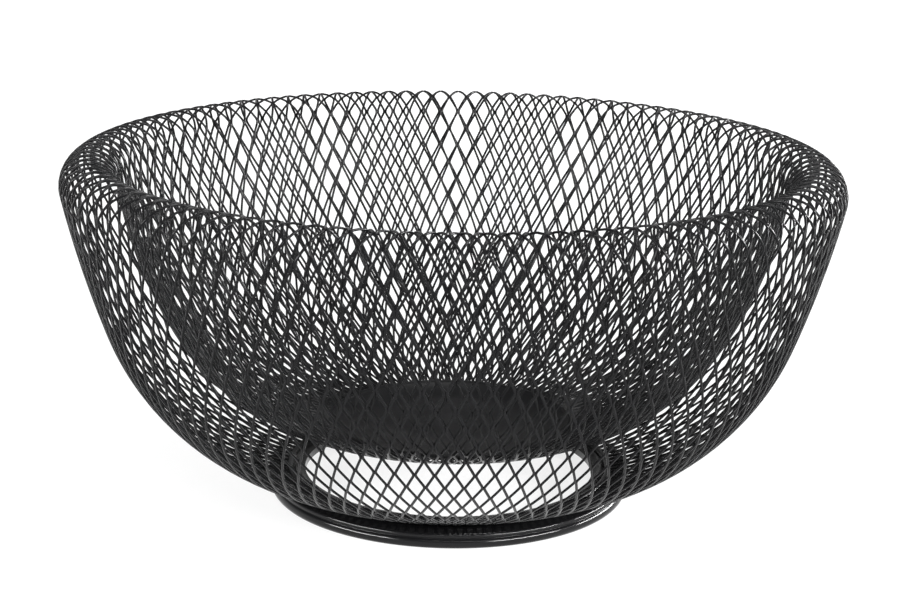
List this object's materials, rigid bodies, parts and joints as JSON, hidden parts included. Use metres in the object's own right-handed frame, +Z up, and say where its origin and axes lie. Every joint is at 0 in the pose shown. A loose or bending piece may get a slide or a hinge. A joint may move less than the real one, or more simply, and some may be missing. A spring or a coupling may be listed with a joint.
{
  "type": "double-walled mesh produce basket",
  "caption": "Round double-walled produce basket of black expanded-metal mesh with a soft rolled rim, on a low pressed foot ring with an open centre.",
  "frame": {"origin": "On the axis of the basket, at the height of the surface the foot stands on: the centre of the bounding box's bottom.", "axes": "+Z is up and is the axis of symmetry of the round basket; +X and +Y lie in the surface it stands on, and any turn about Z gives the same shape."},
  "size_m": [0.32, 0.32, 0.145],
  "materials": {
    "powder_coat": "semi-gloss black powder coat on steel"
  },
  "bodies": {
    "root": {"outer_mesh_wall": "powder_coat", "rolled_mesh_rim": "powder_coat", "inner_mesh_bowl": "powder_coat", "mesh_clamp_ring": "powder_coat", "foot_ring": "powder_coat", "floor_plate": "powder_coat"}
  },
  "joints": []
}
